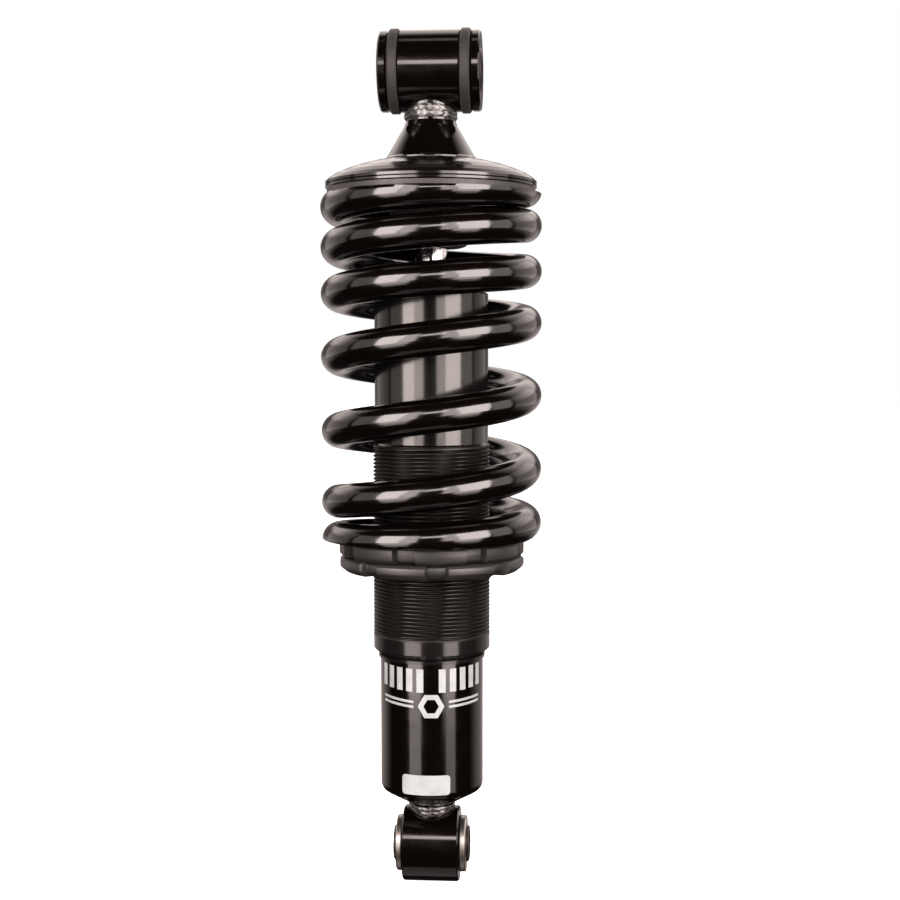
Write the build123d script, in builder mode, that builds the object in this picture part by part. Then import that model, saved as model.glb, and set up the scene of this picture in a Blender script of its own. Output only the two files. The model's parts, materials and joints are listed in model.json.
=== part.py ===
from build123d import *
from math import cos, pi, radians, sin
import os

os.makedirs("parts", exist_ok=True)

# Coil-over rear shock. Millimetres, +Z from the lower eye to the upper eye, +X along both bolts.
# Origin: centre of the lower eye.

eye_to_eye = 304.8

# upper eye
upper_barrel_r = 15.7
upper_barrel_half = 12.0
upper_bush_r = 12.0
upper_flange_r = 16.25
upper_flange_end = 15.8
upper_sleeve_r = 8.5
upper_bolt_r = 6.1
upper_half_width = 20.0
spacer_r = 15.5

# lower eye
lower_barrel_r = 14.8
lower_barrel_half = 11.1
lower_bush_r = 11.0
lower_sleeve_r = 7.05
lower_bolt_r = 5.1
lower_half_width = 15.0
washer_r = 11.05
washer_end = 13.8

# stem and upper spring retainer
neck_r = 9.7
cone_top = 284.9
stem_base_r = 18.6
stem_base = 270.3
spigot_r = 15.4
spigot_end = 263.5
retainer_lip_r = 41.2
retainer_bottom = 259.2
isolator_bottom = 257.2

# coil spring
wire_r = 6.6
coil_r = 36.6
spring_top = 257.1
spring_bottom = 123.05
first_coil_height = 258.55
closed_pitch = 13.35
soft_pitch = 17.8
firm_pitch = 28.8
pitch_law = (
    (-0.35, closed_pitch),
    (0.82, closed_pitch),
    (1.12, soft_pitch),
    (2.40, soft_pitch),
    (3.30, firm_pitch),
    (5.20, firm_pitch),
    (5.80, closed_pitch),
    (6.85, closed_pitch),
)

# preload rings
ring_r = 36.4
ring_bore_r = 23.05
collar_top = 123.0
collar_bottom = 116.3
lock_top = 115.9
lock_bottom = 110.2
notch_count = 8
notch_depth = 3.0
notch_mouth = 9.6
notch_floor = 7.2
collar_phase = 33.0
lock_phase = 8.0

# body, threaded sleeve and seal head
body_r = 20.3
bore_r = 18.0
body_top = 220.0
bore_floor = 30.0
body_neck_r = 8.4
thread_r = 23.0
thread_pitch = 1.5
thread_depth = 0.85
thread_start = 85.1
thread_end = 159.5
land_start = 79.6
sleeve_start = 77.2
sleeve_top = 219.0
sleeve_upper_r = 22.3
slip = 0.05
head_bottom = 200.0
head_top = 216.0

# shaft and piston
shaft_r = 6.25
shaft_top = 288.0
shaft_shoulder = 190.0
stud_r = 5.0
stud_end = 158.5
piston_top = 185.5
piston_bottom = 171.0
piston_r = 17.6
gas_piston_top = 80.0
gas_piston_bottom = 66.0

# bump stop
bump_top = 269.5
bump_bottom = 236.5


def lathe(*outline, mode=Mode.ADD):
    """Turn a closed (radius, height) outline about Z."""
    with BuildSketch(Plane.XZ) as section:
        with BuildLine():
            Polyline(*outline, close=True)
        make_face()
    revolve(section.sketch, axis=Axis.Z, mode=mode)


def ring(inner, outer, low, high, mode=Mode.ADD):
    """A plain ring about Z, or a disc if inner is 0."""
    lathe((inner, low), (outer, low), (outer, high), (inner, high), mode=mode)


def cross_lathe(height, *outline, mode=Mode.ADD):
    """Turn a closed (x, radius) outline about the bolt axis at this height."""
    with BuildSketch(Plane.XZ) as section:
        with BuildLine():
            Polyline(*[(x, height + radius) for x, radius in outline], close=True)
        make_face()
    revolve(section.sketch, axis=Axis((0, 0, height), (1, 0, 0)), mode=mode)


def cross_ring(height, inner, outer, start, end, bevel=0.5, mode=Mode.ADD):
    """A ring about the bolt axis with its outer corners bevelled."""
    cross_lathe(
        height,
        (start, inner),
        (start, outer - bevel),
        (start + bevel, outer),
        (end - bevel, outer),
        (end, outer - bevel),
        (end, inner),
        mode=mode,
    )


def cross_drum(height, radius, half, mode=Mode.ADD):
    """A plain cylinder on the bolt axis."""
    cross_lathe(height, (-half, 0), (-half, radius), (half, radius), (half, 0), mode=mode)


def hex_hole_nut(across_flats, bore, low, high):
    """A hexagon nut about Z."""
    with BuildSketch(Plane.XY.offset(low)) as hexagon:
        RegularPolygon(across_flats / 2, 6, major_radius=False)
        Circle(bore, mode=Mode.SUBTRACT)
    extrude(hexagon.sketch, amount=high - low)
    corner = across_flats / 2 / cos(radians(30))
    flat = across_flats / 2 - 0.2
    lathe(
        (flat, high),
        (corner + 1, high),
        (corner + 1, high - 1 - (corner - flat) * 0.5),
        mode=Mode.SUBTRACT,
    )
    lathe(
        (flat, low),
        (corner + 1, low),
        (corner + 1, low + 1 + (corner - flat) * 0.5),
        mode=Mode.SUBTRACT,
    )


def saddle_bead(height, barrel_r, stem_r, thickness, leg, low, high):
    """A band around a stem that follows the barrel it is welded to."""
    ring(stem_r, stem_r + thickness, low, high)
    cross_drum(height, barrel_r + leg, 30, mode=Mode.INTERSECT)
    cross_drum(height, barrel_r, 30, mode=Mode.SUBTRACT)


def preload_ring(low, high, low_bevel, high_bevel, phase):
    """A threaded ring with spanner notches round its rim."""
    lathe(
        (ring_bore_r, low + 0.6),
        (ring_bore_r + 0.6, low),
        (ring_r - low_bevel, low),
        (ring_r, low + low_bevel),
        (ring_r, high - high_bevel),
        (ring_r - high_bevel, high),
        (ring_bore_r + 0.6, high),
        (ring_bore_r, high - 0.6),
    )
    floor = ring_r - notch_depth
    with BuildSketch(Plane.XY.offset(low - 1)) as notches:
        with PolarLocations(0, notch_count, start_angle=phase):
            Polygon(
                (floor, -notch_floor / 2),
                (ring_r + 1, -notch_mouth / 2 - 0.4),
                (ring_r + 1, notch_mouth / 2 + 0.4),
                (floor, notch_floor / 2),
                align=None,
            )
    extrude(notches.sketch, amount=high - low + 2, mode=Mode.SUBTRACT)


def coil_height(turn):
    """Height of the wire's centre, a number of turns down from the first coil."""
    height = first_coil_height
    steps = 200
    width = turn / steps
    for step in range(steps):
        middle = (step + 0.5) * width
        height -= pitch_at(middle) * width
    return height


def pitch_at(turn):
    """Pitch in mm per turn, read from the pitch law."""
    for (start, before), (end, after) in zip(pitch_law, pitch_law[1:]):
        if turn <= end:
            return before + (after - before) * (turn - start) / (end - start)
    return pitch_law[-1][1]


# ---- lower eye ----

with BuildPart() as lower_eye:
    cross_ring(0, lower_bush_r, lower_barrel_r, -lower_barrel_half, lower_barrel_half, 0.5)

with BuildPart() as lower_weld:
    saddle_bead(0, lower_barrel_r, body_neck_r, 1.4, 1.9, 8, 20)

with BuildPart() as lower_bushing:
    cross_ring(
        0, lower_sleeve_r + slip, lower_bush_r, -lower_barrel_half, lower_barrel_half, 0.4
    )

with BuildPart() as lower_sleeve:
    cross_ring(0, lower_bolt_r, lower_sleeve_r, -lower_half_width, lower_half_width, 0.5)

with BuildPart() as lower_washer_left:
    cross_ring(0, lower_sleeve_r, washer_r, -washer_end, -lower_barrel_half - 0.3, 0.4)

with BuildPart() as lower_washer_right:
    cross_ring(0, lower_sleeve_r, washer_r, lower_barrel_half + 0.3, washer_end, 0.4)

# ---- damper body ----

with BuildPart() as damper_body:
    lathe(
        (0, 0),
        (body_neck_r, 0),
        (body_neck_r, 16.8),
        (18.2, 22.3),
        (19.4, 23.1),
        (20.05, 24.2),
        (body_r, 25.4),
        (body_r, 75.8),
        (body_r - 0.8, 75.8),
        (body_r - 0.8, 77.1),
        (body_r, 77.1),
        (body_r, body_top - 0.8),
        (body_r - 0.8, body_top),
        (bore_r + 0.5, body_top),
        (bore_r, body_top - 0.5),
        (bore_r, 217.65),
        (bore_r + 1.1, 217.65),
        (bore_r + 1.1, 216.05),
        (bore_r, 216.05),
        (bore_r, bore_floor + 2),
        (bore_r - 2, bore_floor),
        (0, bore_floor),
    )
    cross_drum(0, lower_barrel_r, 30, mode=Mode.SUBTRACT)

with BuildPart() as body_label:
    ring(body_r, body_r + 0.12, 24, 34)
    with BuildSketch(Plane.XZ) as label_face:
        with Locations((-0.7, 28.7)):
            RectangleRounded(18.7, 7.8, 1.4)
    extrude(amount=30, mode=Mode.INTERSECT)

with BuildPart() as sleeve_stop_ring:
    ring(body_r - 0.75, body_r + 0.75, 75.9, 77.05)

groove_count = int((thread_end - thread_start) / thread_pitch)
thread_outline = []
for groove in range(groove_count):
    foot = thread_start + 0.6 + groove * thread_pitch
    thread_outline.append((thread_r, foot))
    thread_outline.append((thread_r - thread_depth, foot + 0.6))
    thread_outline.append((thread_r - thread_depth, foot + 0.72))
    thread_outline.append((thread_r, foot + 1.32))

with BuildPart() as threaded_sleeve:
    lathe(
        (body_r + slip, sleeve_start),
        (body_r + 0.3, sleeve_start),
        (thread_r, land_start),
        *thread_outline,
        (thread_r, thread_end),
        (sleeve_upper_r, thread_end + 0.7),
        (sleeve_upper_r, sleeve_top - 0.6),
        (sleeve_upper_r - 0.6, sleeve_top),
        (body_r + slip, sleeve_top),
    )

# ---- seal head ----

with BuildPart() as seal_head:
    lathe(
        (6.7, head_bottom),
        (bore_r - 1, head_bottom),
        (bore_r - slip, head_bottom + 1),
        (bore_r - slip, 205.0),
        (15.9, 205.0),
        (15.9, 208.0),
        (bore_r - slip, 208.0),
        (bore_r - slip, head_top),
        (9.5, head_top),
        (9.5, 212.0),
        (8.0, 212.0),
        (8.0, 202.0),
        (6.7, 202.0),
    )

with BuildPart() as shaft_bushing:
    ring(shaft_r + 0.04, 8.0, 202.0, 212.0)

with BuildPart() as shaft_seal:
    lathe(
        (shaft_r + slip, 212.0),
        (9.5, 212.0),
        (9.5, 214.8),
        (7.8, 214.8),
        (7.2, 213.4),
        (shaft_r + slip, 214.2),
    )

with BuildPart() as dust_wiper:
    lathe(
        (6.9, 214.9),
        (9.5, 214.9),
        (9.5, 217.6),
        (8.2, 217.6),
        (7.0, 220.6),
        (shaft_r + slip, 221.4),
        (shaft_r + slip, 220.4),
        (6.9, 217.0),
    )

with BuildPart() as seal_head_o_ring:
    with BuildSketch(Plane.XZ) as cord:
        with Locations((16.92, 206.5)):
            Circle(1.0)
    revolve(axis=Axis.Z)

with BuildPart() as seal_head_circlip:
    ring(16.2, bore_r + 1.0, 216.1, 217.6)
    with BuildSketch(Plane.XY.offset(216)) as gap:
        with Locations((17.5, 0)):
            Rectangle(6, 8)
    extrude(amount=2, mode=Mode.SUBTRACT)

with BuildPart() as end_cap:
    lathe(
        (9.7, 217.8),
        (bore_r - slip, 217.8),
        (bore_r - slip, 219.2),
        (bore_r - 0.9, 219.8),
        (11.0, 219.8),
        (9.7, 219.2),
    )

# ---- shaft and piston ----

with BuildPart() as damper_shaft:
    lathe(
        (0, stud_end),
        (stud_r - 0.8, stud_end),
        (stud_r, stud_end + 0.8),
        (stud_r, shaft_shoulder),
        (shaft_r, shaft_shoulder),
        (shaft_r, shaft_top - 1),
        (shaft_r - 1, shaft_top),
        (0, shaft_top),
    )

with BuildPart() as top_out_plate:
    ring(stud_r, 13.0, 188.5, shaft_shoulder)

with BuildPart() as top_out_bumper:
    lathe(
        (shaft_r, shaft_shoulder),
        (11.5, shaft_shoulder),
        (11.5, 196.0),
        (9.5, 199.5),
        (shaft_r, 199.5),
    )

with BuildPart() as compression_shims:
    for layer, radius in enumerate((14.8, 14.8, 13.4, 11.8, 10.0)):
        ring(stud_r, radius, piston_top + 0.6 * layer, piston_top + 0.6 * (layer + 1))

with BuildPart() as piston:
    lathe(
        (stud_r, piston_bottom),
        (piston_r - 0.8, piston_bottom),
        (piston_r, piston_bottom + 0.8),
        (piston_r, 174.0),
        (16.9, 174.0),
        (16.9, 182.5),
        (piston_r, 182.5),
        (piston_r, piston_top - 0.8),
        (piston_r - 0.8, piston_top),
        (stud_r, piston_top),
    )
    with BuildSketch(Plane.XY.offset(piston_bottom)) as ports:
        with PolarLocations(11.4, 6):
            Circle(2.2)
    extrude(amount=piston_top - piston_bottom, mode=Mode.SUBTRACT)

with BuildPart() as piston_band:
    ring(16.95, bore_r - slip, 174.1, 182.4)

with BuildPart() as rebound_shims:
    for layer, radius in enumerate((10.0, 11.8, 13.4, 14.8)):
        ring(stud_r, radius, 168.6 + 0.6 * layer, 168.6 + 0.6 * (layer + 1))

with BuildPart() as piston_nut:
    hex_hole_nut(17.0, stud_r, 161.0, 168.6)

with BuildPart() as floating_piston:
    lathe(
        (0, gas_piston_top),
        (bore_r - 1.2, gas_piston_top),
        (bore_r - 0.1, gas_piston_top - 1),
        (bore_r - 0.1, 74.6),
        (15.9, 74.6),
        (15.9, 71.6),
        (bore_r - 0.1, 71.6),
        (bore_r - 0.1, gas_piston_bottom),
        (14.0, gas_piston_bottom),
        (14.0, 74.0),
        (0, 74.0),
    )

with BuildPart() as floating_piston_o_ring:
    with BuildSketch(Plane.XZ) as gas_cord:
        with Locations((16.93, 73.1)):
            Circle(1.0)
    revolve(axis=Axis.Z)

# ---- bump stop ----

with BuildPart() as jam_nut:
    hex_hole_nut(17.0, shaft_r, 271.1, 277.2)

with BuildPart() as bump_stop_cup:
    lathe(
        (shaft_r, bump_top),
        (12.5, bump_top),
        (12.5, 264.2),
        (13.6, 264.2),
        (13.6, 271.0),
        (shaft_r, 271.0),
    )

with BuildPart() as bump_stop:
    lathe(
        (6.7, bump_top),
        (6.7, bump_bottom + 1),
        (7.4, bump_bottom),
        (12.0, bump_bottom),
        (14.6, bump_bottom + 1.6),
        (15.8, bump_bottom + 4.4),
        (15.6, bump_bottom + 7.4),
        (13.6, bump_bottom + 9.4),
        (13.6, bump_bottom + 10.4),
        (16.2, bump_bottom + 12.8),
        (16.8, bump_bottom + 16.4),
        (16.2, bump_bottom + 20.0),
        (13.6, bump_bottom + 22.6),
        (12.4, bump_bottom + 24.4),
        (12.4, bump_top),
    )

# ---- stem, retainer and upper eye ----

with BuildPart() as upper_stem:
    lathe(
        (0, eye_to_eye),
        (neck_r, eye_to_eye),
        (neck_r, cone_top + 0.4),
        (10.4, cone_top - 1.6),
        (stem_base_r - 1.4, 271.4),
        (stem_base_r, stem_base + 0.3),
        (stem_base_r, stem_base),
        (spigot_r, stem_base),
        (spigot_r, spigot_end),
        (14.0, spigot_end),
        (14.0, 271.0),
        (10.4, 271.0),
        (10.4, 277.4),
        (shaft_r, 277.4),
        (shaft_r, shaft_top),
        (0, shaft_top),
    )
    cross_drum(eye_to_eye, upper_barrel_r, 30, mode=Mode.SUBTRACT)

with BuildPart() as upper_spring_retainer:
    lathe(
        (spigot_r, stem_base),
        (stem_base_r, stem_base),
        (23.6, 269.3),
        (28.6, 268.0),
        (33.4, 266.4),
        (37.4, 264.7),
        (39.8, 263.2),
        (retainer_lip_r, 261.9),
        (retainer_lip_r, 260.9),
        (retainer_lip_r - 0.5, 260.65),
        (retainer_lip_r, 260.4),
        (retainer_lip_r, retainer_bottom + 0.4),
        (retainer_lip_r - 0.4, retainer_bottom),
        (28.8, retainer_bottom),
        (28.8, 252.8),
        (28.0, 252.0),
        (25.2, 252.0),
        (24.6, 252.6),
        (24.6, 262.4),
        (spigot_r, 265.4),
    )

with BuildPart() as spring_isolator:
    ring(29.0, 40.6, isolator_bottom, retainer_bottom)

with BuildPart() as upper_weld:
    saddle_bead(eye_to_eye, upper_barrel_r, neck_r, 1.3, 6.0, cone_top + 0.4, 300)

with BuildPart() as upper_eye:
    cross_ring(
        eye_to_eye, upper_bush_r, upper_barrel_r, -upper_barrel_half, upper_barrel_half, 0.6
    )

with BuildPart() as upper_bushing_left:
    cross_lathe(
        eye_to_eye,
        (-0.2, upper_sleeve_r + slip),
        (-0.2, upper_bush_r),
        (-upper_barrel_half, upper_bush_r),
        (-upper_barrel_half, upper_flange_r - 0.5),
        (-upper_barrel_half - 0.5, upper_flange_r),
        (-upper_flange_end + 0.7, upper_flange_r),
        (-upper_flange_end, upper_flange_r - 0.7),
        (-upper_flange_end, upper_sleeve_r + slip),
    )

with BuildPart() as upper_bushing_right:
    cross_lathe(
        eye_to_eye,
        (0.2, upper_sleeve_r + slip),
        (0.2, upper_bush_r),
        (upper_barrel_half, upper_bush_r),
        (upper_barrel_half, upper_flange_r - 0.5),
        (upper_barrel_half + 0.5, upper_flange_r),
        (upper_flange_end - 0.7, upper_flange_r),
        (upper_flange_end, upper_flange_r - 0.7),
        (upper_flange_end, upper_sleeve_r + slip),
    )

with BuildPart() as upper_sleeve:
    cross_ring(
        eye_to_eye, upper_bolt_r, upper_sleeve_r, -upper_half_width, upper_half_width, 0.5
    )

with BuildPart() as upper_spacer_left:
    cross_ring(
        eye_to_eye,
        upper_sleeve_r,
        spacer_r,
        -upper_half_width + 0.4,
        -upper_flange_end - 0.3,
        0.6,
    )

with BuildPart() as upper_spacer_right:
    cross_ring(
        eye_to_eye,
        upper_sleeve_r,
        spacer_r,
        upper_flange_end + 0.3,
        upper_half_width - 0.4,
        0.6,
    )

# ---- preload rings and spring ----

with BuildPart() as preload_collar:
    preload_ring(collar_bottom, collar_top, 1.4, 1.6, collar_phase)
    ring(26.2, 29.4, collar_top - 1, collar_top + 3.0)

with BuildPart() as lock_ring:
    preload_ring(lock_bottom, lock_top, 2.4, 1.2, lock_phase)

first_turn = pitch_law[0][0]
last_turn = pitch_law[-1][0]
stations = 96
coil_points = []
for station in range(stations + 1):
    turn = first_turn + (last_turn - first_turn) * station / stations
    around = -2 * pi * turn
    coil_points.append((coil_r * cos(around), coil_r * sin(around), coil_height(turn)))

with BuildPart() as coil_spring:
    with BuildLine() as wire_line:
        Spline(*coil_points)
    with BuildSketch(Plane(origin=wire_line.line @ 0, z_dir=wire_line.line % 0)) as wire:
        Circle(wire_r)
    sweep(path=wire_line.line, is_frenet=True)
    ring(20, 50, spring_bottom, spring_top, mode=Mode.INTERSECT)

nodes = {
    "lower_eye": lower_eye,
    "lower_weld": lower_weld,
    "lower_bushing": lower_bushing,
    "lower_sleeve": lower_sleeve,
    "lower_washer_left": lower_washer_left,
    "lower_washer_right": lower_washer_right,
    "damper_body": damper_body,
    "body_label": body_label,
    "sleeve_stop_ring": sleeve_stop_ring,
    "threaded_sleeve": threaded_sleeve,
    "seal_head": seal_head,
    "shaft_bushing": shaft_bushing,
    "shaft_seal": shaft_seal,
    "dust_wiper": dust_wiper,
    "seal_head_o_ring": seal_head_o_ring,
    "seal_head_circlip": seal_head_circlip,
    "end_cap": end_cap,
    "damper_shaft": damper_shaft,
    "top_out_plate": top_out_plate,
    "top_out_bumper": top_out_bumper,
    "compression_shims": compression_shims,
    "piston": piston,
    "piston_band": piston_band,
    "rebound_shims": rebound_shims,
    "piston_nut": piston_nut,
    "floating_piston": floating_piston,
    "floating_piston_o_ring": floating_piston_o_ring,
    "jam_nut": jam_nut,
    "bump_stop_cup": bump_stop_cup,
    "bump_stop": bump_stop,
    "upper_stem": upper_stem,
    "upper_spring_retainer": upper_spring_retainer,
    "spring_isolator": spring_isolator,
    "upper_weld": upper_weld,
    "upper_eye": upper_eye,
    "upper_bushing_left": upper_bushing_left,
    "upper_bushing_right": upper_bushing_right,
    "upper_sleeve": upper_sleeve,
    "upper_spacer_left": upper_spacer_left,
    "upper_spacer_right": upper_spacer_right,
    "preload_collar": preload_collar,
    "lock_ring": lock_ring,
    "coil_spring": coil_spring,
}

for node, built in nodes.items():
    built.part.label = node
    export_step(built.part, f"parts/{node}.step")
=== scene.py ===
"""Looks of a coil-over rear shock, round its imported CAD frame. Metres, +Z from the lower eye to the upper."""
import json
import math
import random

import bpy
from mathutils import Matrix, Vector


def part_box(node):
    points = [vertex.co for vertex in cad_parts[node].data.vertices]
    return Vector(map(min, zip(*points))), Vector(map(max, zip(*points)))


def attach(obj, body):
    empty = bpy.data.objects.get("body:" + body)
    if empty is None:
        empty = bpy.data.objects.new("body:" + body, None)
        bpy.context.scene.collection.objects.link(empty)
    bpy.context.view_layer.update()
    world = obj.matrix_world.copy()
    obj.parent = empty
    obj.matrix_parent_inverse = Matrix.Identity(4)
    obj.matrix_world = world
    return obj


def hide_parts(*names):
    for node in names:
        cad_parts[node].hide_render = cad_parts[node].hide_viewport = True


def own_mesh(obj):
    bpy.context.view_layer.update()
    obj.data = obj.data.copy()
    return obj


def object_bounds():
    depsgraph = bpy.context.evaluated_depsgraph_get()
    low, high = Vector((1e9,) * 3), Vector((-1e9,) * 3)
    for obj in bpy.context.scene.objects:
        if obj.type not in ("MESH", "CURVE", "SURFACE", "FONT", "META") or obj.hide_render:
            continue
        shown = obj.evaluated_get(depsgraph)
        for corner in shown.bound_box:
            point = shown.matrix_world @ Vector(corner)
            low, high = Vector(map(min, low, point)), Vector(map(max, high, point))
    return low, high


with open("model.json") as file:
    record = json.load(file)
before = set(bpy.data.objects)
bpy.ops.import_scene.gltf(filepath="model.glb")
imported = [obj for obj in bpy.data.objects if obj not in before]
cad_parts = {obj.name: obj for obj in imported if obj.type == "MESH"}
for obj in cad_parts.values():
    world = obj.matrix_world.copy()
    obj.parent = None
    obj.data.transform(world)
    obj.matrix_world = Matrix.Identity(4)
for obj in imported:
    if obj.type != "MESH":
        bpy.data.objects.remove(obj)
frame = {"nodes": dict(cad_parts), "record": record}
cad_low, cad_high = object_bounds()

MM = 0.001
TAU = 2 * math.pi


# ---------------------------------------------------------------- measures from the frame, in mm

def heights(node):
    low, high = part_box(node)
    return low.z / MM, high.z / MM


def half_width(node):
    low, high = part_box(node)
    return (high.x - low.x) / 2 / MM


BARREL_R_UPPER = (heights("upper_eye")[1] - heights("upper_eye")[0]) / 2
BARREL_R_LOWER = (heights("lower_eye")[1] - heights("lower_eye")[0]) / 2
EYE_TO_EYE = sum(heights("upper_eye")) / 2
SPRING_LOW, SPRING_HIGH = heights("coil_spring")
SPRING_OUTER = half_width("coil_spring")
SLEEVE_LOW, SLEEVE_HIGH = heights("threaded_sleeve")
THREAD_R = half_width("threaded_sleeve")
COLLAR_LOW, COLLAR_HIGH = heights("preload_collar")
LOCK_LOW, LOCK_HIGH = heights("lock_ring")
RING_R = half_width("preload_collar")
BODY_R = half_width("damper_body")
BUMP_LOW, BUMP_HIGH = heights("bump_stop")
UPPER_WELD_EDGE = heights("upper_weld")[0]
LOWER_WELD_EDGE = heights("lower_weld")[1]


# ---------------------------------------------------------------- measures that no box gives, in mm

UPPER_NECK_R = 9.6
LOWER_NECK_R = 8.4
RING_BORE_R = 23.05
COLLAR_FACE = 123.0

THREAD_PITCH, THREAD_DEPTH = 1.5, 0.85
THREAD_LOW, THREAD_HIGH = SLEEVE_LOW + 7.9, SLEEVE_LOW + 82.3

# At turn 0 the wire's centre is on +X, at FIRST_COIL. The law's rows are (turn, drop per turn) there.
WIRE_R = 6.6
COIL_R = SPRING_OUTER - WIRE_R
FIRST_COIL = 258.55
CLOSED, SOFT, FIRM = 13.35, 17.8, 28.8
PITCH_LAW = (
    (-0.35, CLOSED), (0.82, CLOSED), (1.12, SOFT), (2.4, SOFT),
    (3.3, FIRM), (5.2, FIRM), (5.8, CLOSED), (6.85, CLOSED),
)


# ---------------------------------------------------------------- node helpers

class Shader:
    """A node tree with a Principled shader, and short calls for the nodes that the finishes share."""

    def __init__(self, name="finish"):
        self.material = bpy.data.materials.new(name)
        self.material.use_nodes = True
        self.tree = self.material.node_tree
        self.tree.nodes.clear()
        self.out = self.tree.nodes.new("ShaderNodeOutputMaterial")
        self.bsdf = self.tree.nodes.new("ShaderNodeBsdfPrincipled")
        self.tree.links.new(self.bsdf.outputs[0], self.out.inputs[0])
        self.coords = self.tree.nodes.new("ShaderNodeTexCoord").outputs["Object"]

    def node(self, kind, **values):
        made = self.tree.nodes.new(kind)
        for key, value in values.items():
            setattr(made, key, value)
        return made

    def link(self, source, target):
        self.tree.links.new(source, target)

    def stretched(self, scale):
        """Object coordinates scaled by three numbers."""
        mapping = self.node("ShaderNodeMapping")
        mapping.inputs["Scale"].default_value = scale
        self.link(self.coords, mapping.inputs["Vector"])
        return mapping.outputs[0]

    def noise(self, scale, detail=4.0, roughness=0.55, vector=None):
        made = self.node("ShaderNodeTexNoise")
        made.inputs["Scale"].default_value = scale
        made.inputs["Detail"].default_value = detail
        made.inputs["Roughness"].default_value = roughness
        self.link(vector or self.coords, made.inputs["Vector"])
        return made.outputs["Fac"]

    def span(self, value, low, high, start=0.3, end=0.7):
        """Maps start..end of a value to low..high."""
        made = self.node("ShaderNodeMapRange")
        made.inputs["From Min"].default_value = start
        made.inputs["From Max"].default_value = end
        made.inputs["To Min"].default_value = low
        made.inputs["To Max"].default_value = high
        self.link(value, made.inputs["Value"])
        return made.outputs[0]

    def blend(self, factor, first, second):
        """Mixes two colours, each a socket or three numbers."""
        made = self.node("ShaderNodeMix", data_type="RGBA")
        self.link(factor, made.inputs[0])
        for socket, colour in ((made.inputs[6], first), (made.inputs[7], second)):
            if isinstance(colour, tuple):
                socket.default_value = (*colour, 1)
            else:
                self.link(colour, socket)
        return made.outputs[2]

    def pick(self, factor, first, second):
        """Mixes two single values, all given as sockets."""
        made = self.node("ShaderNodeMix", data_type="FLOAT")
        for socket, source in ((made.inputs[0], factor), (made.inputs[2], first), (made.inputs[3], second)):
            self.link(source, socket)
        return made.outputs[0]

    def larger(self, first, second):
        made = self.node("ShaderNodeMath", operation="MAXIMUM")
        self.link(first, made.inputs[0])
        self.link(second, made.inputs[1])
        return made.outputs[0]

    def bump(self, height, strength, distance, normal=None):
        made = self.node("ShaderNodeBump")
        made.inputs["Strength"].default_value = strength
        made.inputs["Distance"].default_value = distance
        self.link(height, made.inputs["Height"])
        if normal is not None:
            self.link(normal, made.inputs["Normal"])
        return made.outputs[0]

    def set(self, **values):
        for key, value in values.items():
            self.bsdf.inputs[key.replace("_", " ")].default_value = value

    def wire(self, socket, source):
        self.link(source, self.bsdf.inputs[socket])


# ---------------------------------------------------------------- finishes

def gloss_paint(base, flake, rough, peel):
    """Glossy paint or powder coat: orange peel, faint cloudiness and dust."""
    s = Shader()
    dust_tone = (0.006, 0.005, 0.0045)
    cloud = s.noise(60, 5)
    dust = s.noise(2600, 2, 0.7)
    speck = s.span(dust, 0, 1, 0.70, 0.78)
    s.wire("Base Color", s.blend(speck, s.blend(cloud, base, flake), dust_tone))
    s.wire("Roughness", s.span(s.noise(180, 4), rough * 0.8, rough * 1.3))
    orange = s.bump(s.noise(900, 2, 0.5), peel, 0.0001)
    s.wire("Normal", s.bump(s.noise(90, 2, 0.5), peel * 0.6, 0.0004, orange))
    s.set(Metallic=0.0, IOR=1.5)
    return s.material


def turned_alloy(base, worn, rough, ring_scale, metallic=1.0, strength=0.15):
    """Anodised or bare alloy with the lathe's fine rings round Z."""
    s = Shader()
    rings = s.noise(1.0, 3, 0.6, s.stretched((15, 15, ring_scale)))
    patch = s.noise(70, 4)
    s.wire("Base Color", s.blend(patch, base, worn))
    s.wire("Roughness", s.span(rings, rough * 0.75, rough * 1.3))
    grain = s.bump(s.noise(2200, 2, 0.6), strength * 0.6, 0.00005)
    s.wire("Normal", s.bump(rings, strength, 0.00008, grain))
    s.set(Metallic=metallic)
    return s.material


def sleeve_anodise(thread, land, glint):
    """Anodised sleeve: matt in the thread, polished on the plain lands above and below it. The thread's darker
    tone is partly the anodise and partly painted shade of its grooves.
    """
    s = Shader()
    low, high, edge = (THREAD_LOW - 0.1) * MM, (THREAD_HIGH + 0.3) * MM, 0.0004
    parts = s.node("ShaderNodeSeparateXYZ")
    s.link(s.coords, parts.inputs[0])
    above = s.span(parts.outputs["Z"], 0, 1, high - edge, high + edge)
    below = s.span(parts.outputs["Z"], 1, 0, low - edge, low + edge)
    plain = s.larger(above, below)
    patch = s.noise(70, 4)
    shadow = tuple(0.6 * channel for channel in thread)
    # Darker base over the thread: part anodise, part painted shade of the thread's grooves.
    s.wire("Base Color", s.blend(plain, s.blend(patch, thread, shadow), s.blend(patch, land, glint)))
    rings = s.noise(1.0, 3, 0.6, s.stretched((15, 15, 2400)))
    s.wire("Roughness", s.pick(plain, s.span(rings, 0.34, 0.5), s.span(rings, 0.13, 0.18)))
    s.wire("Normal", s.bump(rings, 0.04, 0.00004))
    s.set(Metallic=0.9)
    return s.material


def cross_turned(base, worn, rough, metallic=1.0):
    """Plated steel with tool marks round the bolt axis."""
    s = Shader()
    rings = s.noise(1.0, 3, 0.6, s.stretched((2600, 40, 40)))
    stain = s.noise(160, 5, 0.6)
    s.wire("Base Color", s.blend(stain, base, worn))
    s.wire("Roughness", s.span(rings, rough * 0.7, rough * 1.3))
    s.wire("Normal", s.bump(rings, 0.2, 0.00006, s.bump(s.noise(1500, 3), 0.15, 0.00008)))
    s.set(Metallic=metallic)
    return s.material


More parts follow.
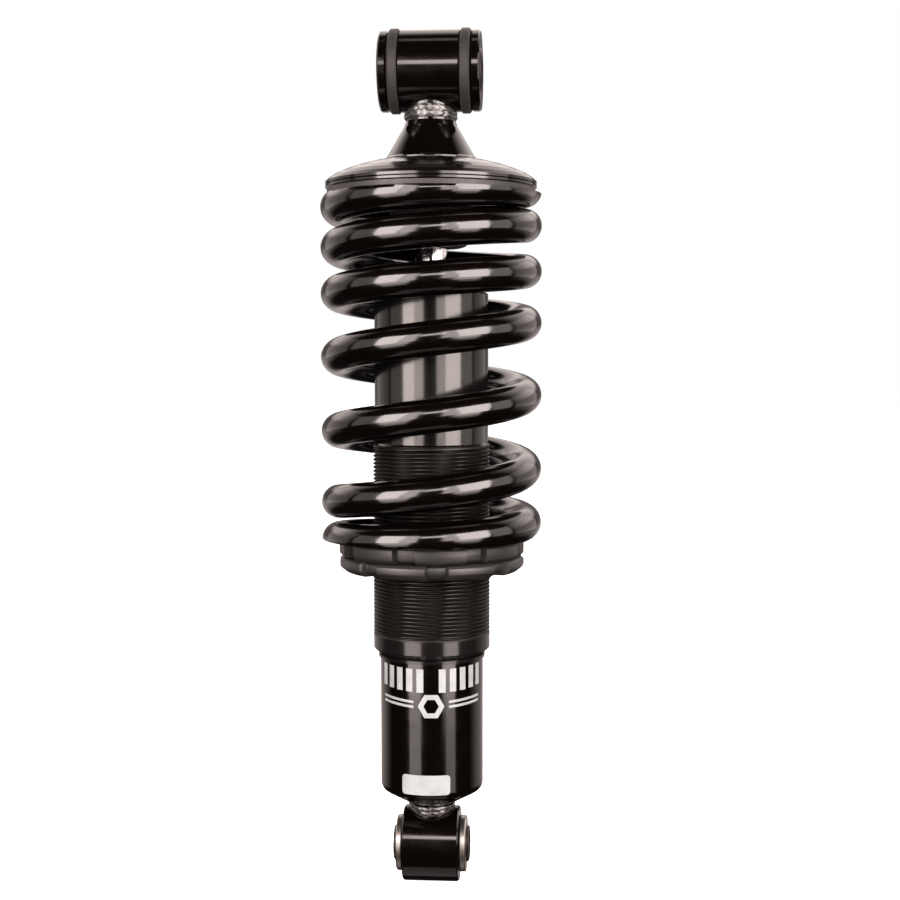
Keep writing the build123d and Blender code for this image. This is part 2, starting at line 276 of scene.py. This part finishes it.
def moulded_rubber(base, bloom, rough=0.62):
    """Moulded rubber or plastic with a fine grain and a grey bloom."""
    s = Shader()
    s.wire("Base Color", s.blend(s.noise(220, 6, 0.65), base, bloom))
    s.wire("Roughness", s.span(s.noise(400, 4), rough * 0.85, rough * 1.15))
    grain = s.bump(s.noise(3200, 3, 0.6), 0.35, 0.00006)
    s.wire("Normal", s.bump(s.noise(420, 3), 0.15, 0.0001, grain))
    s.set(Sheen_Weight=0.03, Sheen_Roughness=0.5, Specular_IOR_Level=0.3)
    return s.material


def foam(base, painted_pore_shade):
    """Microcellular foam: small open cells, with painted shade darkening their hollows."""
    s = Shader()
    cells = s.node("ShaderNodeTexVoronoi", feature="F1")
    cells.inputs["Scale"].default_value = 1400
    s.link(s.coords, cells.inputs["Vector"])
    # The cells' hollows take a darker colour: painted shade.
    s.wire("Base Color", s.blend(s.span(cells.outputs["Distance"], 0, 1, 0.1, 0.6), painted_pore_shade, base))
    s.wire("Roughness", s.span(s.noise(300), 0.75, 0.95))
    s.wire("Normal", s.bump(cells.outputs["Distance"], 0.5, 0.0002))
    return s.material


def weld_metal():
    """Lacquered weld with darker heat stains."""
    s = Shader()
    stain = s.noise(420, 4, 0.6)
    tone = s.blend(s.span(stain, 0, 1, 0.38, 0.62), (0.018, 0.017, 0.016), (0.080, 0.078, 0.075))
    s.wire("Base Color", tone)
    s.wire("Roughness", s.span(s.noise(700, 3), 0.2, 0.38))
    s.wire("Normal", s.bump(s.noise(900, 3, 0.6), 0.3, 0.00025))
    s.set(Metallic=0.7, Coat_Weight=0.35, Coat_Roughness=0.12)
    return s.material


def ink(base, dirt, rough):
    """Printed ink or a label's film: pin holes and slight soiling."""
    s = Shader()
    spots = s.span(s.noise(1900, 3, 0.7), 0, 1, 0.64, 0.74)
    soil = s.span(s.noise(240, 5, 0.6), 0, 0.5, 0.45, 0.75)
    s.wire("Base Color", s.blend(spots, s.blend(soil, base, dirt), dirt))
    s.wire("Roughness", s.span(s.noise(500), rough * 0.85, rough * 1.2))
    s.wire("Normal", s.bump(s.noise(1300, 3), 0.08, 0.00005))
    return s.material


def hard_chrome():
    """Ground and chromed rod: very fine rings and faint travel marks."""
    s = Shader()
    rings = s.noise(1.0, 2, 0.5, s.stretched((20, 20, 5200)))
    drag = s.noise(1.0, 3, 0.6, s.stretched((1600, 1600, 12)))
    s.wire("Base Color", s.blend(s.noise(120, 3), (0.80, 0.79, 0.78), (0.70, 0.69, 0.68)))
    s.wire("Roughness", s.span(drag, 0.05, 0.14))
    s.wire("Normal", s.bump(rings, 0.06, 0.00003))
    s.set(Metallic=1.0)
    return s.material


INK_BLACK = (0.0006, 0.0003, 0.0002)
SOFT_BLACK = (0.0011, 0.0007, 0.0005)
finishes = {
    "gloss_black": gloss_paint(INK_BLACK, SOFT_BLACK, 0.11, 0.05),
    "spring_black": gloss_paint(INK_BLACK, SOFT_BLACK, 0.125, 0.05),
    # The first tone, for the thread, is darker partly as painted shade of the thread's grooves.
    "black_alloy": sleeve_anodise((0.020, 0.0185, 0.0165), (0.028, 0.0275, 0.0265), (0.036, 0.035, 0.034)),
    "black_alloy_gloss": gloss_paint(INK_BLACK, SOFT_BLACK, 0.15, 0.03),
    "anodised_grey": turned_alloy((0.023, 0.022, 0.0208), (0.032, 0.031, 0.0295), 0.42, 1500, 0.65, 0.25),
    "satin_alloy": turned_alloy((0.62, 0.61, 0.60), (0.50, 0.49, 0.48), 0.32, 1800),
    "steel": cross_turned((0.42, 0.41, 0.40), (0.30, 0.29, 0.28), 0.34),
    "dark_steel": cross_turned((0.034, 0.030, 0.027), (0.022, 0.019, 0.017), 0.36, 0.8),
    "zinc_steel": cross_turned((0.40, 0.37, 0.34), (0.26, 0.24, 0.22), 0.36),
    "weld_steel": weld_metal(),
    "chrome": hard_chrome(),
    "bronze": turned_alloy((0.50, 0.33, 0.15), (0.38, 0.24, 0.11), 0.38, 1500),
    "rubber": moulded_rubber((0.0062, 0.0052, 0.0044), (0.0105, 0.0091, 0.0078)),
    "foam_rubber": foam((0.020, 0.018, 0.016), (0.006, 0.005, 0.005)),
    "slide_plastic": moulded_rubber((0.24, 0.15, 0.08), (0.17, 0.10, 0.05), 0.5),
    "black_plastic": moulded_rubber((0.012, 0.0105, 0.0095), (0.020, 0.018, 0.016), 0.45),
    "label": ink((0.215, 0.232, 0.238), (0.120, 0.124, 0.124), 0.42),
}
for slot_name, finish in finishes.items():
    finish.name = slot_name

slot_of = {row["node"]: row["material_slot"] for row in frame["record"]["subparts"]}
for node_name, node_object in frame["nodes"].items():
    node_object.data.materials.clear()
    node_object.data.materials.append(finishes[slot_of[node_name]])


# ---------------------------------------------------------------- mesh helpers

def in_scene(name, data):
    made = bpy.data.objects.new(name, data)
    bpy.context.scene.collection.objects.link(made)
    return made


def add_piece(name, points, faces, body, slot, replaced=(), sharp=40):
    """A mesh from points in millimetres, riding on a CAD body. Edges over sharp degrees stay crisp."""
    mesh = bpy.data.meshes.new(name)
    mesh.from_pydata([(x * MM, y * MM, z * MM) for x, y, z in points], [], faces)
    mesh.update()
    mesh.shade_smooth()
    mesh.set_sharp_from_angle(angle=math.radians(sharp))
    piece = in_scene(name, mesh)
    mesh.materials.append(finishes[slot])
    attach(piece, body)
    if replaced:
        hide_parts(*replaced)
    return piece


def circle(radius, height, columns):
    """Points round Z at one radius and height."""
    angles = [TAU * column / columns for column in range(columns)]
    return [(radius * math.cos(angle), radius * math.sin(angle), height) for angle in angles]


def loop_faces(rows, columns, close_rows=False):
    """Quads over a grid whose columns run round, so the last column meets the first."""
    faces = []
    for row in range(rows if close_rows else rows - 1):
        here, above = row * columns, (row + 1) % rows * columns
        for column in range(columns):
            after = (column + 1) % columns
            faces.append((here + column, here + after, above + after, above + column))
    return faces


# ---------------------------------------------------------------- coil spring

def pitch_at(turn):
    for (start, before), (end, after) in zip(PITCH_LAW, PITCH_LAW[1:]):
        if turn <= end:
            return before + (after - before) * (turn - start) / (end - start)
    return PITCH_LAW[-1][1]


def coil_height(turn, steps=160):
    width = turn / steps
    return FIRST_COIL - sum(pitch_at((step + 0.5) * width) * width for step in range(steps))


def wire_section(turn, around):
    """One ring of points round the wire, ground flat where it passes the spring's ends."""
    angle = -TAU * turn
    centre_z = coil_height(turn)
    slope = math.atan2(-pitch_at(turn), -TAU * COIL_R)
    outward = Vector((math.cos(angle), math.sin(angle), 0))
    along = Vector((math.sin(angle), -math.cos(angle), 0)) * math.cos(slope) * -1
    along.z = math.sin(slope)
    upward = outward.cross(along).normalized()
    if upward.z < 0:
        upward.negate()
    centre = outward * COIL_R + Vector((0, 0, centre_z))
    ring = []
    for step in range(around):
        section_angle = TAU * step / around
        side, rise = WIRE_R * math.cos(section_angle), WIRE_R * math.sin(section_angle)
        for plane, sign in ((SPRING_HIGH, 1), (SPRING_LOW, -1)):
            reach = (plane - centre_z) / upward.z
            if sign * (rise - reach) > 0:
                chord = math.sqrt(max(WIRE_R ** 2 - reach ** 2, 0))
                side, rise = max(-chord, min(chord, side)), reach
        ring.append(centre + outward * side + upward * rise)
    return ring


def make_spring():
    """The coil as one swept wire, ground flat at its ends."""
    per_turn, around = 80, 36
    first, last = PITCH_LAW[0][0] + 0.06, PITCH_LAW[-1][0] - 0.04
    rings = int((last - first) * per_turn)
    points = []
    for step in range(rings + 1):
        points += wire_section(first + (last - first) * step / rings, around)
    faces = loop_faces(rings + 1, around)
    faces.append(tuple(range(around)))
    faces.append(tuple(reversed(range(rings * around, (rings + 1) * around))))
    spring = add_piece("coil_spring_wire", points, faces, "damper", "spring_black", ("coil_spring",), 50)
    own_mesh(spring)


# ---------------------------------------------------------------- threaded sleeve

def thread_radius(height, share_of_turn):
    """Radius on the right-hand helix, whose depth fades out towards both ends."""
    crest, flank_width, run_out = 0.12, 0.62, 1.6
    phase = (height / THREAD_PITCH - share_of_turn) % 1
    flank = abs(phase - 0.5) * 2
    cut = 1 - min(1, max(0, (flank - crest) / flank_width))
    fade = min(1, (height - THREAD_LOW) / run_out, (THREAD_HIGH - height) / run_out)
    return THREAD_R - THREAD_DEPTH * cut * max(0, fade)


def make_sleeve():
    """The sleeve, with its thread as a true right-hand helix that runs out at both ends."""
    columns, rows_per_turn = 120, 9
    bore, upper_r = BODY_R + 0.05, 22.3
    foot = (
        (bore, SLEEVE_LOW), (BODY_R + 0.25, SLEEVE_LOW), (THREAD_R - 0.25, SLEEVE_LOW + 2.15),
        (THREAD_R, SLEEVE_LOW + 2.4), (THREAD_R, THREAD_LOW - 0.1),
    )
    head = (
        (THREAD_R, THREAD_HIGH + 0.1), (THREAD_R - 0.1, THREAD_HIGH + 0.25), (upper_r, THREAD_HIGH + 0.9),
        (upper_r, SLEEVE_HIGH - 0.6), (upper_r - 0.6, SLEEVE_HIGH), (bore, SLEEVE_HIGH),
    )
    thread_rows = int((THREAD_HIGH - THREAD_LOW) / THREAD_PITCH * rows_per_turn)
    points = []
    for radius, height in foot:
        points += circle(radius, height, columns)
    for row in range(thread_rows + 1):
        height = THREAD_LOW + (THREAD_HIGH - THREAD_LOW) * row / thread_rows
        for column in range(columns):
            radius = thread_radius(height, column / columns)
            angle = TAU * column / columns
            points.append((radius * math.cos(angle), radius * math.sin(angle), height))
    for radius, height in head:
        points += circle(radius, height, columns)
    faces = loop_faces(len(points) // columns, columns, close_rows=True)
    add_piece("threaded_sleeve_helix", points, faces, "damper", "black_alloy", ("threaded_sleeve",), 25)


# ---------------------------------------------------------------- preload rings

def notched_radius(angle, phase, inset):
    """Rim radius at an angle, with eight notches whose walls lean."""
    notch_step, notch_depth = TAU / 8, 3.0
    mouth, floor = 4.45 / RING_R, 3.85 / RING_R
    offset = abs((angle - phase + notch_step / 2) % notch_step - notch_step / 2)
    share = min(1, max(0, (offset - floor) / (mouth - floor)))
    return RING_R - inset - notch_depth * (1 - share)


def make_ring(name, low, rim, crown, phase_deg, node):
    """A notched ring that rides on the body named like its node.

    Rim rows are (height above the foot, inset from the rim) and crown rows are (radius, height)."""
    columns = 960
    phase = math.radians(phase_deg)
    angles = [TAU * column / columns for column in range(columns)]
    points = circle(RING_BORE_R, low, columns)
    for height, inset in rim:
        for angle in angles:
            radius = notched_radius(angle, phase, inset)
            points.append((radius * math.cos(angle), radius * math.sin(angle), low + height))
    for radius, height in crown:
        points += circle(radius, height, columns)
    faces = loop_faces(len(points) // columns, columns, close_rows=True)
    add_piece(name, points, faces, node, "anodised_grey", (node,), 28)


def make_lock_ring():
    """The lower ring: a broad bevel below and a small one above."""
    tall = LOCK_HIGH - LOCK_LOW
    rim = (
        (0, 2.9), (0.12, 2.5), (0.9, 1.5), (1.7, 0.5), (2.2, 0.12), (2.6, 0),
        (tall - 1.1, 0), (tall - 0.9, 0.1), (tall - 0.1, 1.0), (tall, 1.2),
    )
    crown = ((RING_BORE_R, LOCK_HIGH),)
    make_ring("lock_ring_castellated", LOCK_LOW, rim, crown, 8.0, "lock_ring")


def make_preload_collar():
    """The upper ring: the spring's seat, with a lip that centres the coil."""
    tall = COLLAR_FACE - COLLAR_LOW
    rim = (
        (0, 1.3), (0.1, 1.1), (1.1, 0.1), (1.3, 0),
        (tall - 1.7, 0), (tall - 1.2, 0.15), (tall - 0.4, 0.75), (tall, 1.5),
    )
    lip_inner, lip_outer = 26.2, 29.4
    crown = (
        (lip_outer, COLLAR_FACE), (lip_outer, COLLAR_HIGH - 0.6), (lip_outer - 0.6, COLLAR_HIGH),
        (lip_inner + 0.4, COLLAR_HIGH), (lip_inner, COLLAR_HIGH - 0.4), (lip_inner, COLLAR_FACE),
        (RING_BORE_R, COLLAR_FACE),
    )
    make_ring("preload_collar_castellated", COLLAR_LOW, rim, crown, 33.0, "preload_collar")


# ---------------------------------------------------------------- bump stop

def make_bump_stop():
    """The foam bump stop: two bulges with a waist between them, round its bore."""
    columns, bore, tall = 96, 7.4, BUMP_HIGH - BUMP_LOW
    lower_bulge = (
        (11.6, 0), (13.3, 0.5), (14.6, 1.6), (15.5, 3.0), (15.8, 4.4), (15.9, 6.0), (15.4, 7.6), (14.4, 8.8),
    )
    waist = ((13.6, 9.5), (13.6, 10.3))
    upper_bulge = ((14.6, 11.1), (15.8, 12.4), (16.6, 14.2), (16.8, 16.4), (16.7, 18.4), (16.0, 20.4))
    shoulder = ((14.8, 21.9), (13.5, 22.8), (12.7, 23.8), (12.4, 25.0), (12.4, tall))
    outline = ((bore, 0), *lower_bulge, *waist, *upper_bulge, *shoulder, (bore, tall))
    points = []
    for radius, height in outline:
        points += circle(radius, BUMP_LOW + height, columns)
    faces = loop_faces(len(outline), columns, close_rows=True)
    piece = add_piece("bump_stop_foam", points, faces, "shaft_assembly", "foam_rubber", ("bump_stop",), 50)
    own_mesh(piece)


# ---------------------------------------------------------------- weld beads

def make_weld(name, centre_z, sign, stem_r, barrel_r, edge, count, body, replaced, seed):
    """Two rows of overlapping ripples that fill the band between a stem and the barrel it meets."""
    draw = random.Random(seed)
    layers = ((0.30, 0.36), (0.72, 0.34))
    rows, columns, bulge = 28, count * 14, 1.0
    lift = [[draw.uniform(0.8, 1.1) for _ in range(count)] for _ in layers]
    lean = [[draw.uniform(-0.12, 0.12) for _ in range(count)] for _ in layers]

    def ripple_height(share, column):
        """How far the bead stands out at a share of its height. The higher layer wins."""
        tall = bulge * 0.25 * math.sin(math.pi * share) ** 0.5 if 0 < share < 1 else 0.0
        for layer, (middle, spread) in enumerate(layers):
            across = (share - middle) / spread
            if abs(across) >= 1:
                continue
            dome = math.sqrt(1 - across * across)
            phase = count * column / columns + 0.5 * layer + 0.55 * across * across
            index = int(phase) % count
            within = phase % 1 + lean[layer][index]
            scallop = 0.66 + 0.34 * abs(math.sin(math.pi * within)) ** 0.6
            tall = max(tall, bulge * dome * scallop * lift[layer][index])
        return tall

    points = []
    for row in range(rows + 1):
        share = row / rows
        for column in range(columns):
            angle = TAU * column / columns
            offset = (stem_r + 0.8) * math.sin(angle)
            seam = centre_z + sign * math.sqrt(barrel_r ** 2 - offset ** 2)
            radius = stem_r + ripple_height(share, column) * (1 - 0.25 * share)
            height = edge + (seam - edge) * share * (1 - 0.26 * math.sin(angle) ** 2)
            points.append((radius * math.cos(angle), radius * math.sin(angle), height))
    add_piece(name, points, loop_faces(rows + 1, columns), body, "weld_steel", (replaced,), 80)


def make_welds():
    make_weld(
        "upper_weld_ripples", EYE_TO_EYE, -1, UPPER_NECK_R, BARREL_R_UPPER, UPPER_WELD_EDGE + 0.8, 14,
        "shaft_assembly", "upper_weld", 4,
    )
    make_weld(
        "lower_weld_ripples", 0.0, 1, LOWER_NECK_R, BARREL_R_LOWER, LOWER_WELD_EDGE, 13,
        "damper", "lower_weld", 9,
    )


# ---------------------------------------------------------------- print on the body

PRINT_R = BODY_R + 0.04
PRINT_TURN = math.radians(4.0)


def lay_patch(points, faces, outline, cells):
    """Lays a flat four-sided shape on the tube. Its corners are (arc, height), round from the low left."""
    low_left, low_right, high_right, high_left = outline
    first = len(points)
    for (start_arc, start_z), (end_arc, end_z) in ((low_left, low_right), (high_left, high_right)):
        for cell in range(cells + 1):
            share = cell / cells
            angle = (start_arc + (end_arc - start_arc) * share) / PRINT_R + PRINT_TURN
            height = start_z + (end_z - start_z) * share
            points.append((PRINT_R * math.sin(angle), -PRINT_R * math.cos(angle), height))
    for cell in range(first, first + cells):
        faces.append((cell, cell + 1, cell + cells + 2, cell + cells + 1))


def lay_bars(points, faces):
    """A row of upright bars on a slight arch, with the middle one left out."""
    reach, bars, low_z, high_z = 24.0, 11, 64.9, 74.0
    spacing = 2 * reach / bars
    half = spacing * 0.31
    for bar in range(bars):
        if bar == bars // 2:
            continue
        middle = -reach + (bar + 0.5) * spacing
        left, right = middle - half, middle + half
        arch = 1.6 * (middle / reach) ** 2
        low, high = low_z + arch, high_z + arch * 0.5
        lay_patch(points, faces, ((left, low), (right, low), (right, high), (left, high)), 3)


def lay_rules(points, faces):
    """Two thin rules on each side, rising a little away from the middle."""
    near, far, rise = 7.0, 22.5, 0.9
    for low, high in ((58.8, 59.8), (60.7, 61.7)):
        right_side = ((near, low), (far, low + rise), (far, high + rise), (near, high))
        left_side = ((-far, low + rise), (-near, low), (-near, high), (-far, high + rise))
        for shape in (left_side, right_side):
            lay_patch(points, faces, shape, 12)


def lay_hexagon(points, faces):
    """A hexagonal frame between the rules."""
    centre_z, outer, inner, sides = 59.6, 5.2, 3.0, 6

    def corner(radius, step):
        angle = TAU * step / sides
        return radius * math.cos(angle), centre_z + radius * math.sin(angle)

    for side in range(sides):
        shape = (corner(outer, side), corner(outer, side + 1), corner(inner, side + 1), corner(inner, side))
        lay_patch(points, faces, shape, 3)


def make_print():
    """Plain bars, rules and a hexagon: a generic mark with no lettering."""
    points, faces = [], []
    lay_bars(points, faces)
    lay_rules(points, faces)
    lay_hexagon(points, faces)
    add_piece("body_print", points, faces, "damper", "label")


make_spring()
make_sleeve()
make_lock_ring()
make_preload_collar()
make_bump_stop()
make_welds()
make_print()


# ---------------------------------------------------------------- lights

CAMERA_AZIMUTH = 5.0
LAMP_TINT = (1, 0.885, 0.850)
AIM_HEIGHT = 0.2

# Name, azimuth to the right of the camera's side, distance, height, width, tall, radiance.
PANELS = (
    ("key_left_outer", -46, 1.25, 0.50, 0.60, 0.95, 16.0),
    ("key_left_inner", -24, 1.25, 0.50, 0.38, 0.95, 9.0),
    ("key_right_inner", 18, 1.25, 0.50, 0.36, 0.95, 7.5),
    ("key_right_outer", 44, 1.25, 0.50, 0.80, 0.95, 15.5),
    ("front_strip", 0, 0.905, 0.565, 0.42, 0.17, 11.0),
    ("mid_left", -38, 1.25, -0.08, 0.74, 0.26, 7.0),
    ("mid_right", 38, 1.25, -0.08, 0.65, 0.26, 7.0),
    ("low_left", -38, 1.25, -0.35, 0.60, 0.28, 3.2),
    ("low_right", 42, 1.25, -0.35, 0.50, 0.28, 2.2),
    ("fill_right", 77, 1.3, 0.45, 0.60, 0.9, 2.3),
    ("fill_left", -75, 1.3, 0.45, 0.66, 0.9, 1.3),
    ("side_right", 118, 1.3, 0.45, 1.1, 1.1, 0.9),
    ("side_left", -118, 1.3, 0.45, 1.1, 1.1, 0.8),
    ("overhead", 0, 0.05, 1.5, 0.30, 0.20, 1.1),
    ("under", 0, 0.10, -0.95, 0.70, 0.70, 0.45),
)


def softbox(name, azimuth, distance, height, width, tall, radiance):
    """A soft panel that faces the shock and that the camera doesn't see."""
    lamp = bpy.data.lights.new(name, "AREA")
    lamp.shape = "RECTANGLE"
    lamp.size, lamp.size_y = width, tall
    lamp.energy = radiance * math.pi * width * tall
    lamp.color = LAMP_TINT
    panel = in_scene(name, lamp)
    turn = math.radians(azimuth + CAMERA_AZIMUTH)
    panel.location = (distance * math.sin(turn), -distance * math.cos(turn), height)
    facing = Vector((0, 0, AIM_HEIGHT)) - panel.location
    panel.rotation_euler = facing.to_track_quat("-Z", "Y").to_euler()
    panel.visible_camera = False


for panel_values in PANELS:
    softbox(*panel_values)


# ---------------------------------------------------------------- world, floor and camera

# The room behind the shock as (sine of the height, share of its brightness).
ROOM_BANDS = (
    (-0.42, 0.0), (-0.24, 0.38), (-0.10, 0.34), (0.0, 0.10),
    (0.23, 0.10), (0.33, 1.0), (0.86, 1.0), (0.96, 0.0),
)
ROOM_TINT = (1, 0.875, 0.835, 1)
ROOM_BRIGHTNESS, ROOM_LEAST = 1.8, 0.02


def make_world():
    """White to the camera. To everything else, a dark room with bright bands on its far side."""
    world = bpy.data.worlds.new("studio")
    bpy.context.scene.world = world
    world.use_nodes = True
    nodes, wires = world.node_tree.nodes, world.node_tree.links
    nodes.clear()

    def ranged(socket, start, end):
        made = nodes.new("ShaderNodeMapRange")
        made.inputs["From Min"].default_value = start
        made.inputs["From Max"].default_value = end
        wires.new(socket, made.inputs["Value"])
        return made.outputs[0]

    axes = nodes.new("ShaderNodeSeparateXYZ")
    wires.new(nodes.new("ShaderNodeTexCoord").outputs["Generated"], axes.inputs[0])

    bands = nodes.new("ShaderNodeValToRGB")
    wires.new(ranged(axes.outputs["Z"], -1.0, 1.0), bands.inputs[0])
    for sine, share in ROOM_BANDS:
        bands.color_ramp.elements.new((sine + 1) / 2).color = (share, share, share, 1)
    for end in (0, -1):
        bands.color_ramp.elements[end].color = (0, 0, 0, 1)

    level = nodes.new("ShaderNodeMath")
    level.operation = "MULTIPLY"
    wires.new(ranged(axes.outputs["Y"], 0.15, 0.55), level.inputs[0])
    wires.new(bands.outputs[0], level.inputs[1])

    strength = nodes.new("ShaderNodeMath")
    strength.operation = "MULTIPLY_ADD"
    wires.new(level.outputs[0], strength.inputs[0])
    strength.inputs[1].default_value = ROOM_BRIGHTNESS
    strength.inputs[2].default_value = ROOM_LEAST

    room = nodes.new("ShaderNodeBackground")
    room.inputs["Color"].default_value = ROOM_TINT
    wires.new(strength.outputs[0], room.inputs["Strength"])
    white = nodes.new("ShaderNodeBackground")
    white.inputs["Color"].default_value = (1, 1, 1, 1)
    white.inputs["Strength"].default_value = 1.0

    mix = nodes.new("ShaderNodeMixShader")
    wires.new(nodes.new("ShaderNodeLightPath").outputs["Is Camera Ray"], mix.inputs[0])
    wires.new(room.outputs[0], mix.inputs[1])
    wires.new(white.outputs[0], mix.inputs[2])
    wires.new(mix.outputs[0], nodes.new("ShaderNodeOutputWorld").inputs[0])


def make_floor():
    """A pale floor just under the shock, which casts no light on it."""
    reach, level = 6.0, cad_low.z - 0.0004
    corners = [(-reach, -reach, level), (reach, -reach, level), (reach, reach, level), (-reach, reach, level)]
    mesh = bpy.data.meshes.new("floor")
    mesh.from_pydata(corners, [], [(0, 1, 2, 3)])
    floor = in_scene("floor", mesh)
    pale = Shader("floor_pale")
    pale.wire("Base Color", pale.blend(pale.noise(6, 3), (0.80, 0.80, 0.80), (0.84, 0.84, 0.84)))
    pale.set(Roughness=0.9, Emission_Color=(1, 1, 1, 1), Emission_Strength=1.0)
    mesh.materials.append(pale.material)
    floor.visible_glossy = False
    floor.visible_diffuse = False
    floor.visible_shadow = False


def make_camera():
    """A close camera, turned a little to the right of the front."""
    distance, eye_height = 0.613, 0.195
    lens = bpy.data.cameras.new("camera")
    lens.sensor_width = 36.0
    lens.lens = 62.3
    lens.clip_start, lens.clip_end = 0.01, 60.0
    camera = in_scene("camera", lens)
    bpy.context.scene.camera = camera
    turn = math.radians(CAMERA_AZIMUTH)
    camera.location = (distance * math.sin(turn), -distance * math.cos(turn), eye_height)
    yaw = Matrix.Rotation(turn - math.radians(0.68), 3, "Z")
    pitch = Matrix.Rotation(math.radians(90 - 3.51), 3, "X")
    roll = Matrix.Rotation(math.radians(-0.06), 3, "Z")
    camera.rotation_euler = (yaw @ pitch @ roll).to_euler()


make_world()
make_floor()
make_camera()
bpy.context.scene.view_settings.view_transform = "Standard"
bpy.context.scene.view_settings.look = "None"
